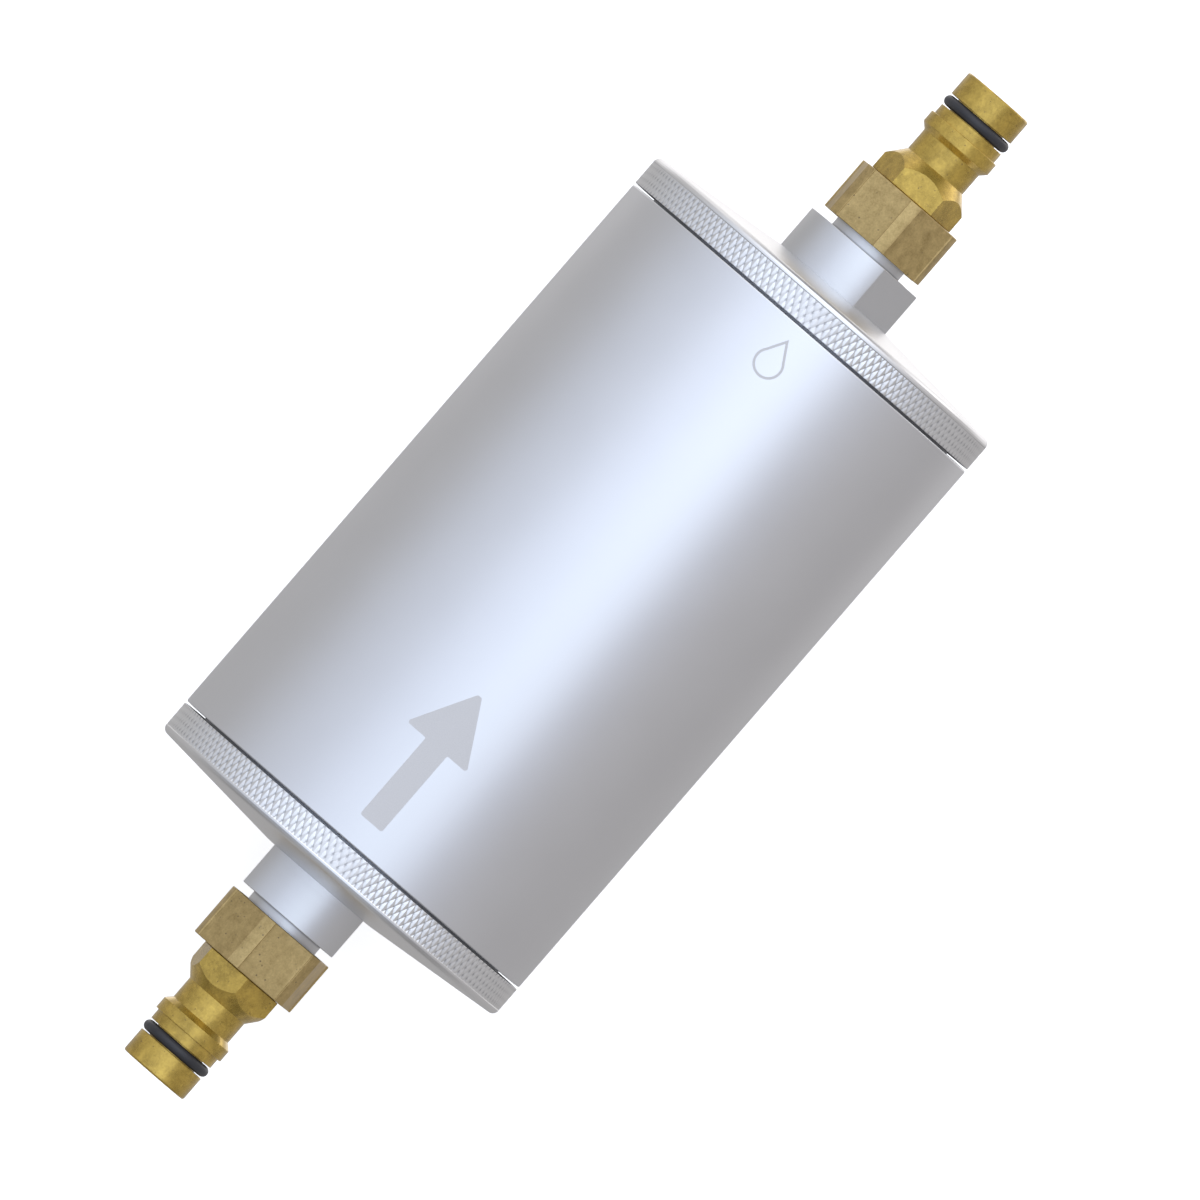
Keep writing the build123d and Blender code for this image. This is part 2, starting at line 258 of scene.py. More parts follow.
def plus(tree, first, second):
    """The sum of two values."""
    return calc(tree, "ADD", first, second)


def minus(tree, first, second):
    """The first value less the second."""
    return calc(tree, "SUBTRACT", first, second)


def shape(tree, kind, sources=(), **settings):
    """The result of a Geometry Nodes node, named without its prefix."""
    return add(tree, f"GeometryNode{kind}", sources, **settings).outputs[0]


def xyz_of(tree, vector):
    """The three parts of a vector."""
    return add(tree, "ShaderNodeSeparateXYZ", [vector]).outputs


def vector_of(tree, *parts):
    """A vector of up to three parts."""
    return add(tree, "ShaderNodeCombineXYZ", parts).outputs[0]


def off_axis_squared(tree, y, z):
    """The square of a point's distance from the flow axis."""
    return plus(tree, times(tree, y, y), times(tree, z, z))


def groove_places(tree, x, y, z, start, pitch, grooves):
    """For each slanting set of knurl grooves, 0 in a groove and 0.5 midway between two."""
    around = times(tree, calc(tree, "DIVIDE", calc(tree, "ARCTAN2", z, y), tau), grooves)
    along = calc(tree, "DIVIDE", minus(tree, x, start), pitch)
    left = calc(tree, "PINGPONG", plus(tree, around, along), 0.5)
    right = calc(tree, "PINGPONG", minus(tree, around, along), 0.5)
    return left, right


def new_tree(name, **inputs):
    """A Geometry Nodes tree with named inputs, each with its starting value."""
    tree = bpy.data.node_groups.new(name, "GeometryNodeTree")
    tree.interface.new_socket("Geometry", in_out="INPUT", socket_type="NodeSocketGeometry")
    for label, value in inputs.items():
        kind = "Int" if isinstance(value, int) else "Float"
        socket = tree.interface.new_socket(label, in_out="INPUT", socket_type=f"NodeSocket{kind}")
        socket.default_value = value
    tree.interface.new_socket("Finish", in_out="INPUT", socket_type="NodeSocketMaterial")
    tree.interface.new_socket("Geometry", in_out="OUTPUT", socket_type="NodeSocketGeometry")
    return tree, tree.nodes.new("NodeGroupInput").outputs


def laid_along_axis(tree, geometry, start):
    """Turns what was made about Z to lie about the flow axis, and moves it to its start."""
    place = vector_of(tree, start, 0.0, 0.0)
    sources = {"Geometry": geometry, "Translation": place, "Rotation": (0, pi / 2, 0)}
    return shape(tree, "Transform", sources)


def end_tree(tree, geometry, given):
    """Ends a tree in Realize Instances and Set Material."""
    plain = shape(tree, "RealizeInstances", [geometry])
    painted = shape(tree, "SetMaterial", {"Geometry": plain, "Material": given["Finish"]})
    add(tree, "NodeGroupOutput", [painted])
    return tree


def run_tree(piece, tree, material, **values):
    """Runs a tree on a piece. Each value is set by its socket's identifier, found by name."""
    modifier = piece.modifiers.new(tree.name, "NODES")
    modifier.node_group = tree
    values["Finish"] = material
    for item in tree.interface.items_tree:
        if item.in_out == "INPUT" and item.name in values:
            modifier[item.identifier] = values[item.name]
    keep_result(piece)


# %% [markdown]
# ## Finishes
# A metal's look is mostly its roughness and the fine marks of how it was made. Each finish reads
# Object coordinates, so its marks stay put on the piece: fine grain on the blasted and anodised
# tube, rings on whatever was turned on a lathe, mottling and pits on the forged brass nuts. Rings
# come from noise that changes along the flow axis and along the radius, but not round the axis, so
# that no two are alike. Painted shade in the cap's corners and knurl pits, and dull spots, are
# colours mixed in where a value rises or falls.

# %% Material helpers
def new_material(name, color, roughness, metallic=0.0):
    """A node material, with its tree, its shader and the Object coordinates. The plain color and
    roughness are what the shader has until a pattern is linked to it."""
    material = bpy.data.materials.new(name)
    material.use_nodes = True
    tree = material.node_tree
    shader = tree.nodes["Principled BSDF"]
    shader.inputs["Base Color"].default_value = (*color, 1)
    shader.inputs["Roughness"].default_value = roughness
    shader.inputs["Metallic"].default_value = metallic
    place = add(tree, "ShaderNodeTexCoord").outputs["Object"]
    return material, tree, shader, place


def noise(tree, place, scale, detail=2.0, roughness=0.5):
    """Noise with features of about 1 / scale metres, from 0 to 1."""
    sources = {"Vector": place, "Scale": scale, "Detail": detail, "Roughness": roughness}
    return add(tree, "ShaderNodeTexNoise", sources).outputs["Fac"]


def stretch(tree, place, scale):
    """Coordinates scaled differently along each axis, for streaks."""
    return add(tree, "ShaderNodeMapping", {"Vector": place, "Scale": scale}).outputs[0]


def spread(tree, value, low, high, start=0.0, end=1.0):
    """Maps a value from start..end to low..high."""
    return add(tree, "ShaderNodeMapRange", [value, start, end, low, high]).outputs[0]


def rises(tree, value, start, end, most=1.0):
    """0 until the value reaches start, then growing to most at end."""
    return spread(tree, value, 0.0, most, start, end)


def falls(tree, value, start, end, most=1.0):
    """most until the value reaches start, then fading to 0 at end."""
    return spread(tree, value, most, 0.0, start, end)


def blend_colors(tree, factor, first, second):
    """A blend of two plain colours."""
    ramp = add(tree, "ShaderNodeValToRGB", [factor])
    ramp.color_ramp.elements[0].color = (*first, 1)
    ramp.color_ramp.elements[1].color = (*second, 1)
    return ramp.outputs[0]


def mix_in(tree, factor, under, color):
    """A pattern of colours with a plain colour mixed in."""
    sources = {0: factor, 6: under, 7: (*color, 1)}
    return add(tree, "ShaderNodeMix", sources, data_type="RGBA").outputs[2]


def paint(tree, shader, color, roughness=None):
    """Links a pattern of colours to the shader, and one of roughness if there is one."""
    tree.links.new(color, shader.inputs["Base Color"])
    if roughness:
        tree.links.new(roughness, shader.inputs["Roughness"])


def bump(tree, shader, height, distance):
    """Raises the surface by height times distance, as a change of its normal."""
    made = add(tree, "ShaderNodeBump", {"Height": height, "Distance": distance})
    tree.links.new(made.outputs[0], shader.inputs["Normal"])


def turning_marks(tree, place, spacing):
    """Fine rings as a lathe tool leaves them, on cylinders and on faces alike, from 0 to 1."""
    x, y, z = xyz_of(tree, place)
    radius = calc(tree, "SQRT", off_axis_squared(tree, y, z))
    along = calc(tree, "DIVIDE", x, spacing)
    outward = calc(tree, "DIVIDE", radius, spacing)
    return noise(tree, vector_of(tree, along, outward), 1.0, 3.0, 0.6)


# %% Aluminium
def anodised_aluminium():
    """Satin tube: fine blasted grain with faint drawing lines along the tube."""
    material, tree, shader, place = new_material("anodised_aluminium", (0.80, 0.81, 0.83), 0.36, 1.0)
    lines = noise(tree, stretch(tree, place, (12, 2200, 2200)), 1.0, 2.0)
    grain = noise(tree, place, 5200, 2.0)
    cloud = noise(tree, place, 60, 3.0)
    tint = blend_colors(tree, cloud, (0.735, 0.745, 0.765), (0.775, 0.785, 0.805))
    rough = plus(tree, spread(tree, lines, -0.03, 0.03), spread(tree, cloud, 0.35, 0.40))
    paint(tree, shader, tint, rough)
    bump(tree, shader, plus(tree, times(tree, lines, 0.6), grain), 0.0012 * MM)
    return material


def knurl_pits(tree, x, y, z):
    """1 in the pits where two grooves of the knurl cross, which get painted shade."""
    along = calc(tree, "ABSOLUTE", x)
    left, right = groove_places(tree, along, y, z, KNURL_START, KNURL_PITCH, KNURL_GROOVES)
    deep = falls(tree, calc(tree, "MAXIMUM", left, right), 0.08, 0.26)
    rim = falls(tree, along, KNURL_END, KNURL_END + SPOT)
    inside_rim = BODY_RADIUS - 1.0 * MM
    outside = calc(tree, "GREATER_THAN", off_axis_squared(tree, y, z), inside_rim ** 2)
    return times(tree, times(tree, deep, rim), outside)


def turned_aluminium():
    """Cap: fine lathe rings on every face, with painted shade in the corners where pieces meet and in the
    knurl pits.
    """
    material, tree, shader, place = new_material("turned_aluminium", (0.80, 0.805, 0.82), 0.36, 1.0)
    rings = turning_marks(tree, place, 0.16 * MM)
    grain = noise(tree, place, 4200, 2.0)
    x, y, z = xyz_of(tree, place)
    along = calc(tree, "ABSOLUTE", x)
    wide = off_axis_squared(tree, y, z)
    # Painted shade: the slit between tube and rim, and the neck beside the boss, get a darker colour where
    # shade falls.
    thread_side = rises(tree, along, TUBE_END - 0.7 * MM, TUBE_END - 0.2 * MM)
    rim_side = falls(tree, along, RIM_FACE - 0.1 * MM, RIM_FACE + 0.1 * MM)
    cup_wall = 36 * MM
    outside = calc(tree, "GREATER_THAN", wide, cup_wall ** 2)
    in_gap = times(tree, times(tree, thread_side, rim_side), outside)
    past_boss = falls(tree, along, BOSS_END + 0.15 * MM, BOSS_END + 0.45 * MM, 0.8)
    on_neck = times(tree, calc(tree, "LESS_THAN", wide, (NECK_RADIUS + EDGE) ** 2),
                    calc(tree, "GREATER_THAN", wide, (NECK_RADIUS - EDGE) ** 2))
    corner = plus(tree, in_gap, times(tree, past_boss, on_neck))
    boss_side = 14.3 * MM
    cone_side = 16 * MM
    on_boss = falls(tree, wide, boss_side ** 2, cone_side ** 2)
    tint = blend_colors(tree, on_boss, (0.81, 0.815, 0.82), (0.70, 0.71, 0.725))
    # Painted shade: the knurl's pits are darkened where shade falls between the pyramids.
    pit_shade = mix_in(tree, knurl_pits(tree, x, y, z), tint, (0.50, 0.505, 0.52))
    # The darker colour mixed in here by the corner mask is painted shade in those recesses.
    painted_shade = mix_in(tree, corner, pit_shade, (0.37, 0.385, 0.42))
    paint(tree, shader, painted_shade, spread(tree, rings, 0.32, 0.41))
    bump(tree, shader, plus(tree, rings, times(tree, grain, 0.35)), 0.003 * MM)
    return material


def laser_mark():
    """Where the laser has whitened the anodised skin: the same metal, but matt."""
    material, tree, shader, place = new_material("laser_mark", (0.68, 0.68, 0.68), 0.75, 0.35)
    grain = noise(tree, place, 3800, 2.0)
    paint(tree, shader, blend_colors(tree, grain, (0.64, 0.635, 0.635), (0.72, 0.715, 0.715)))
    bump(tree, shader, grain, 0.004 * MM)
    return material


# %% Brass
def oxide_film(shader, roughness):
    """The thin film on old brass: it scatters some light and whitens the metal at low angles."""
    shader.inputs["Coat Weight"].default_value = 0.3
    shader.inputs["Coat Roughness"].default_value = roughness
    shader.inputs["Coat IOR"].default_value = 1.8


def dark_specks(tree, place, scale, core, edge, patch_scale, most=1.0):
    """Small round specks, dark inside core and gone at edge, that come in patches."""
    cells = add(tree, "ShaderNodeTexVoronoi", {"Vector": place, "Scale": scale}).outputs["Distance"]
    patches = rises(tree, noise(tree, place, patch_scale, 1.0), 0.52, 0.62, most)
    return times(tree, falls(tree, cells, core, edge), patches)


def forged_brass():
    """Union nuts: matte, mottled, with small dark pits and a coarse grain."""
    material, tree, shader, place = new_material("forged_brass", (0.55, 0.42, 0.20), 0.42, 0.86)
    oxide_film(shader, 0.35)
    mottle = noise(tree, place, 420, 5.0, 0.65)
    grain = noise(tree, place, 2600, 3.0, 0.7)
    pits = dark_specks(tree, place, 850.0, 0.05, 0.22, 700)
    blotch = plus(tree, times(tree, mottle, 0.6), times(tree, grain, 0.4))
    amount = rises(tree, blotch, 0.35, 0.68)
    tint = blend_colors(tree, amount, (0.36, 0.25, 0.085), (0.64, 0.475, 0.20))
    pitted = mix_in(tree, pits, tint, (0.13, 0.09, 0.045))
    paint(tree, shader, pitted, spread(tree, blotch, 0.36, 0.54, 0.35, 0.68))
    bump(tree, shader, minus(tree, plus(tree, grain, mottle), pits), 0.012 * MM)
    return material


def turned_brass():
    """Hose plugs: machined brass with rings, an uneven tarnish and a few dark specks."""
    material, tree, shader, place = new_material("turned_brass", (0.72, 0.55, 0.19), 0.24, 0.70)
    oxide_film(shader, 0.22)
    rings = turning_marks(tree, place, 0.11 * MM)
    cloud = noise(tree, place, 330, 4.0, 0.65)
    grain = noise(tree, place, 2300, 3.0, 0.7)
    specks = dark_specks(tree, place, 1000.0, 0.06, 0.24, 900, 0.8)
    tarnish = plus(tree, times(tree, cloud, 0.62), times(tree, grain, 0.38))
    amount = rises(tree, tarnish, 0.37, 0.64)
    tint = blend_colors(tree, amount, (0.36, 0.235, 0.03), (0.64, 0.435, 0.075))
    speckled = mix_in(tree, specks, tint, (0.16, 0.10, 0.03))
    polish = spread(tree, tarnish, 0.29, 0.16, 0.35, 0.65)
    paint(tree, shader, speckled, plus(tree, spread(tree, rings, -0.03, 0.05), polish))
    bump(tree, shader, plus(tree, rings, times(tree, tarnish, 1.2)), 0.004 * MM)
    return material


# %% Rubber, plastics and filter media
def black_rubber():
    """O-rings and gaskets: dark, with a soft sheen and a fine moulded grain."""
    material, tree, shader, place = new_material("black_rubber", (0.045, 0.046, 0.05), 0.48)
    grain = noise(tree, place, 2400, 3.0, 0.6)
    dust = noise(tree, place, 300, 2.0)
    tint = blend_colors(tree, dust, (0.018, 0.018, 0.021), (0.034, 0.034, 0.038))
    paint(tree, shader, tint, spread(tree, grain, 0.40, 0.58))
    bump(tree, shader, grain, 0.006 * MM)
    return material


def moulded_plastic(name, color):
    """White polypropylene: slightly waxy, with a faint moulding grain."""
    material, tree, shader, place = new_material(name, color, 0.45)
    shader.inputs["Subsurface Weight"].default_value = 0.08
    shader.inputs["Subsurface Scale"].default_value = 1.0 * MM
    grain = noise(tree, place, 1500, 3.0)
    flow = noise(tree, place, 45, 2.0)
    darker = tuple(part * 0.95 for part in color)
    paint(tree, shader, blend_colors(tree, flow, darker, color), spread(tree, grain, 0.38, 0.52))
    bump(tree, shader, grain, 0.006 * MM)
    return material


def white_fleece():
    """Non-woven wrap: tangled fibres under the net."""
    material, tree, shader, place = new_material("white_fleece", (0.84, 0.84, 0.82), 0.92)
    shader.inputs["Sheen Weight"].default_value = 0.3
    bend = add(tree, "ShaderNodeTexNoise", {"Vector": place, "Scale": 250.0}).outputs["Color"]
    warped = add(tree, "ShaderNodeVectorMath", [bend, (0.004, 0.004, 0.004), place],
                 operation="MULTIPLY_ADD").outputs[0]
    fibres = noise(tree, stretch(tree, warped, (1, 3, 3)), 900, 4.0, 0.7)
    cloth = noise(tree, place, 160, 3.0)
    tangle = times(tree, fibres, cloth)
    paint(tree, shader, blend_colors(tree, tangle, (0.70, 0.70, 0.67), (0.92, 0.92, 0.90)))
    bump(tree, shader, plus(tree, fibres, cloth), 0.15 * MM)
    return material


def pressed_carbon():
    """Black carbon granules pressed into a block."""
    material, tree, shader, place = new_material("pressed_carbon", (0.03, 0.03, 0.032), 0.7)
    cells = add(tree, "ShaderNodeTexVoronoi", {"Vector": place, "Scale": 1300.0})
    shade = noise(tree, cells.outputs["Position"], 900, 1.0)
    tint = blend_colors(tree, shade, (0.015, 0.015, 0.016), (0.06, 0.06, 0.064))
    paint(tree, shader, tint, spread(tree, shade, 0.45, 0.9))
    bump(tree, shader, cells.outputs["Distance"], 0.25 * MM)
    return material


finishes = {
    "anodised_aluminium": anodised_aluminium(),
    "turned_aluminium": turned_aluminium(),
    "forged_brass": forged_brass(),
    "turned_brass": turned_brass(),
    "black_rubber": black_rubber(),
    "cartridge_plastic": moulded_plastic("cartridge_plastic", (0.82, 0.83, 0.84)),
    "core_plastic": moulded_plastic("core_plastic", (0.76, 0.77, 0.78)),
    "white_fleece": white_fleece(),
    "pressed_carbon": pressed_carbon(),
    "plastic_net": moulded_plastic("plastic_net", (0.80, 0.82, 0.84)),
}
mark_finish = laser_mark()
print("finishes:", ", ".join(finishes))

# %% [markdown]
# ## The CAD nodes that stay
# The gaskets, the cartridge's moulded ends, its core, its carbon block and its fleeces have the
# right shape already, so they keep their CAD meshes and only get a better finish. Each node's
# finish is the slot that the record gives it.

# %% Paint the CAD nodes
for part in frame["record"]["subparts"]:
    node = frame["nodes"][part["node"]]
    node.data.materials.clear()
    node.data.materials.append(finishes[part["material_slot"]])
print("painted", len(frame["nodes"]), "CAD nodes")

# %% [markdown]
# ## Housing tube
# The tube is cut from drawn aluminium pipe, bored and threaded at both ends, and its edges are
# broken so that they don't cut. A plain cylinder would show razor edges, so the outline has real
# roundings that catch the light, and its bore steps out where the caps' threads go in.

# %% Make the tube
TUBE_COLUMNS = 256
TUBE_BORE = 40.0 * MM
THREAD_BORE = 41.1 * MM
THREAD_BORE_DEPTH = 9.5 * MM
TUBE_EDGE = 0.4 * MM


def tube_outline():
    """The tube's wall, from the inlet end of the bore round to the start."""
    step = TUBE_END - THREAD_BORE_DEPTH
    lead_in = THREAD_BORE - TUBE_BORE
    outside = [(-TUBE_END, BODY_RADIUS, TUBE_EDGE), (TUBE_END, BODY_RADIUS, TUBE_EDGE)]
    inside = [
        (TUBE_END, THREAD_BORE, EDGE),
        (step, THREAD_BORE),
        (step - lead_in, TUBE_BORE),
        (-step + lead_in, TUBE_BORE),
        (-step, THREAD_BORE),
        (-TUBE_END, THREAD_BORE, EDGE),
    ]
    return rounded(outside + inside, steps=4)


tube = new_piece("housing_shell", skin("housing_shell", spin(tube_outline(), circle(TUBE_COLUMNS))))
finish_piece(tube, "housing", "anodised_aluminium", ["housing_tube"])

# %% [markdown]
# ## Knurled caps
# A cap is turned from one bar: spigot with O-ring groove, rim, shallow cone, spanner boss with two
# flats, and the stub for the union nut. The knurl is rolled: two sets of slanting grooves cross and
# leave a diamond pyramid between them. A bump map would leave the rim smooth in outline, so the
# grooves are real. A Geometry Nodes tree measures each rim point's place between the grooves of
# both sets and lowers it to the nearer groove. The rim's points lie on the grooves' own lattice,
# four to a groove, so every pyramid has straight edges.

# %% Knurling tree
def knurl_tree():
    """Lowers the points of a rim, turned about X, to a pattern of crossed grooves."""
    tree, given = new_tree(
        "knurl",
        Start=0.0, End=0.0, Pitch=1.0, Grooves=1.0,
        Crest=1.0, Depth=0.0, Steepness=3.0,
    )
    place = shape(tree, "InputPosition")
    x, y, z = xyz_of(tree, place)
    radius = calc(tree, "SQRT", off_axis_squared(tree, y, z))
    left, right = groove_places(tree, x, y, z, given["Start"], given["Pitch"], given["Grooves"])
    rise = times(tree, calc(tree, "MINIMUM", left, right), given["Steepness"])
    drop = minus(tree, 1.0, calc(tree, "MINIMUM", rise, 1.0))
    knurled = minus(tree, given["Crest"], times(tree, drop, given["Depth"]))
    factor = calc(tree, "DIVIDE", calc(tree, "MINIMUM", radius, knurled), radius)
    lowered = vector_of(tree, x, times(tree, y, factor), times(tree, z, factor))
    before_end = calc(tree, "LESS_THAN", x, given["End"])
    reach = minus(tree, given["Crest"], times(tree, given["Depth"], 2.0))
    chosen = times(tree, before_end, calc(tree, "GREATER_THAN", radius, reach))
    sources = {"Geometry": given["Geometry"], "Selection": chosen, "Position": lowered}
    return end_tree(tree, shape(tree, "SetPosition", sources), given)


knurl = knurl_tree()

# %% [markdown]
# The spanner flats are trimmed into the boss by the ring helper: a point whose radius would pass the
# flat is pulled back to it. The edge roundings come along, because the flat is drawn in by as much
# as the outline is.

# %% Cap sizes
RIM_OUTER = RIM_FACE + 7.2 * MM
RIM_ROUNDING = 1.5 * MM
BOSS_START = RIM_OUTER + 2.8 * MM
BOSS_RADIUS = 14.15 * MM
FOOT_RING = 0.3 * MM
BOSS_FLATS = 24.0 * MM
FLAT_TURN = {"outlet": radians(144.4), "inlet": radians(180.0)}
CUP_FLOOR = 73.0 * MM
CUP_RADIUS = 35.5 * MM
CUP_ROUNDING = 1.5 * MM
NOSE_RADIUS = 39.75 * MM
SEAL_SLOT_FLOOR = 36.85 * MM
SEAL_SLOT_WIDTH = 3.6 * MM
STUB_THREAD_START = BOSS_END + 2.3 * MM
STUB_ROOT = 9.32 * MM
STUB_BORE = 6.0 * MM
SOCKET_RADIUS = 9.0 * MM
SOCKET_END = 86.0 * MM
KNURL_STEEPNESS = 3.3
CAP_SHARP = radians(16)
CAP_COLUMNS = KNURL_GROOVES * POINTS_A_GROOVE
print("knurl ends at", round(KNURL_END / MM, 2))


# %% Cap outline
def middle(node):
    """Where the middle of a CAD node lies on the flow axis."""
    return (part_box(node)[0].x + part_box(node)[1].x) / 2


def cap_outline(end):
    """The cap's half section, drawn at the outlet end, with plain cylinders where threads go. A ring
    just outside the boss keeps the cone's shading even where the spanner flats cut in."""
    slot_start = middle("outlet_cap_seal") - SEAL_SLOT_WIDTH / 2
    slot_end = slot_start + SEAL_SLOT_WIDTH
    row = KNURL_PITCH / POINTS_A_GROOVE
    spigot = [
        (NOSE_END, CUP_RADIUS, EDGE),
        (NOSE_END, NOSE_RADIUS, 2 * EDGE),
        (slot_start, NOSE_RADIUS),
        (slot_start, SEAL_SLOT_FLOOR, EDGE),
        (slot_end, SEAL_SLOT_FLOOR, EDGE),
        (slot_end, NOSE_RADIUS),
        (RIM_FACE, NOSE_RADIUS),
    ]
    rim = [(RIM_FACE, BODY_RADIUS, EDGE)]
    rim += [(KNURL_START + step * row, BODY_RADIUS) for step in range(1, KNURL_ROWS + 1)]
    rim += [(RIM_OUTER, BODY_RADIUS, RIM_ROUNDING)]
    cone_slope = (BOSS_START - RIM_OUTER) / (BODY_RADIUS - BOSS_RADIUS)
    boss = [
        (BOSS_START - FOOT_RING * cone_slope, BOSS_RADIUS + FOOT_RING),
        (BOSS_START, BOSS_RADIUS),
        (BOSS_START + SPOT, BOSS_RADIUS),
        (BOSS_END, BOSS_RADIUS, EDGE),
        (BOSS_END, NECK_RADIUS),
        (STUB_THREAD_START - SPOT, NECK_RADIUS),
        (STUB_THREAD_START + SPOT, STUB_ROOT),
        (STUB_END, STUB_ROOT, EDGE),
        (STUB_END, STUB_BORE, EDGE),
    ]
    bore = [(CUP_FLOOR, STUB_BORE)]
    if end == "outlet":
        bore = [
            (SOCKET_END, STUB_BORE),
            (SOCKET_END, SOCKET_RADIUS),
            (CUP_FLOOR, SOCKET_RADIUS, 2 * EDGE),
        ]
    return rounded(spigot + rim + boss + bore + [(CUP_FLOOR, CUP_RADIUS, CUP_ROUNDING)], steps=5)


def flat_trim(turn):
    """Pulls the boss's points back to the two spanner flats."""
    def trim(x, radius, angle):
        if not BOSS_START < x < BOSS_END + SPOT or radius > BOSS_RADIUS + SPOT:
            return radius
        inset = min(BOSS_RADIUS - radius, EDGE)
        return min(radius, BOSS_FLATS / 2 / abs(cos(angle - turn)) - inset)
    return trim


def groove_split(first_row):
    """Splits the rim's faces along the grooves, so that a groove's bottom is one straight line."""
    def diagonal(ring, column):
        row = ring - first_row
        if not 0 <= row < KNURL_ROWS:
            return None
        if (row - column) % POINTS_A_GROOVE == 0:
            return True
        if (row + column + 1) % POINTS_A_GROOVE == 0:
            return False
        return None
    return diagonal


# %% Make the caps
for end, move in ENDS.items():
    outline = cap_outline(end)
    knurl_corner = Vector((KNURL_START, BODY_RADIUS))
    first_row = min(range(len(outline)), key=lambda ring: (outline[ring] - knurl_corner).length)
    rings = spin(outline, circle(CAP_COLUMNS), flat_trim(FLAT_TURN[end]))
    cap = new_piece(f"{end}_cap_knurled", skin(f"{end}_cap_knurled", rings, groove_split(first_row)))
    run_tree(cap, knurl, finishes["turned_aluminium"], Start=KNURL_START, End=KNURL_END + SPOT / 2,
             Pitch=KNURL_PITCH, Grooves=float(KNURL_GROOVES), Crest=BODY_RADIUS, Depth=KNURL_DEPTH,
             Steepness=KNURL_STEEPNESS)
    finish_piece(cap, f"{end}_cap", "turned_aluminium", [f"{end}_cap"], move, sharp=CAP_SHARP)

# %% [markdown]
# ## Screw threads
# A thread is one ridge that winds round and runs out at both ends. In a lathe outline it would be
# a stack of separate rings, which no nut could screw onto, so a tree winds a trapezoid section
# along a helix and shrinks it towards the ends. All of them are right-hand threads. Only the caps'
# outside threads are made; the bores of the tube and the nuts that they screw into stay plain.

# %% Thread tree
def ridge_tree():
    """A helical ridge about X, from Start towards +X, that runs out at both ends."""
    tree, given = new_tree(
        "screw thread",
        Start=0.0, Turns=3.0, Pitch=0.002, Root=0.01,
        Rise=0.001, Foot=0.0018, Tip=0.0004,
    )
    length = times(tree, given["Turns"], given["Pitch"])
    helix = shape(tree, "CurveSpiral", {
        "Resolution": 96, "Rotations": given["Turns"], "Start Radius": given["Root"],
        "End Radius": given["Root"], "Height": length, "Reverse": False,
    })
    upright = shape(tree, "SetCurveNormal", [helix], mode="Z_UP")
    along = shape(tree, "SplineParameter")
    to_end = calc(tree, "MINIMUM", along, minus(tree, 1.0, along))
    run_out = times(tree, times(tree, given["Turns"], 3.0), to_end)
    size = calc(tree, "MAXIMUM", 0.05, calc(tree, "MINIMUM", 1.0, run_out))
    section = shape(tree, "CurvePrimitiveQuadrilateral", {
        "Height": given["Rise"], "Bottom Width": given["Foot"], "Top Width": given["Tip"], "Offset": 0.0,
    }, mode="TRAPEZOID")
    turned = shape(tree, "Transform", {"Geometry": section, "Rotation": (0, 0, pi / 2)})
    ridge = shape(tree, "CurveToMesh", {
        "Curve": upright, "Profile Curve": turned, "Scale": size, "Fill Caps": True,
    })
    return end_tree(tree, laid_along_axis(tree, ridge, given["Start"]), given)


ridge = ridge_tree()

# %% Cut the threads
THREADS = {
    "cap_thread": dict(Start=61.7 * MM, Turns=3.8, Pitch=2.0 * MM, Root=40.2 * MM, Rise=1.4 * MM,
                       Foot=1.9 * MM, Tip=0.35 * MM),
    "stub_thread": dict(Start=92.9 * MM, Turns=3.1, Pitch=25.4 / 14 * MM, Root=9.8 * MM, Rise=1.35 * MM,
                        Foot=1.7 * MM, Tip=0.35 * MM),
}
for end, move in ENDS.items():
    for name, sizes in THREADS.items():
        thread = new_piece(f"{end}_{name}", bpy.data.meshes.new(name))
        run_tree(thread, ridge, finishes["turned_aluminium"], **sizes)
        crest = max(hypot(point.co.y, point.co.z) for point in thread.data.vertices)
        print("crest radius in mm:", round(crest / MM, 3))
        finish_piece(thread, f"{end}_cap", "turned_aluminium", (), move)

# %% [markdown]
# ## Union nuts
# The nut is forged: a hexagon with a narrow raised rib on each corner, and its corners turned off.
# Its cross-section is drawn once as a list of (angle, radius) points with small roundings. The lathe
# outline follows that section to both ends, where a small rounding breaks the edge all the way round.

# %% Nut section
NUT_FLATS = 23.6 * MM
NUT_RIB_RADIUS = 13.2 * MM
NUT_CORNER_RADIUS = 12.9 * MM
NUT_RIB_HALF = 1.45 * MM
NUT_BORE = 10.65 * MM
NUT_NECK = 7.7 * MM
NUT_SHOULDER = 102.5 * MM
NUT_CHAMFER = 0.5 * MM
NUT_TOP_EDGE = 0.12 * MM
NUT_FOOT_EDGE = 0.06 * MM
NUT_MERGE = 2e-6
NUT_TURN = {"outlet": radians(97.5), "inlet": radians(101.5)}


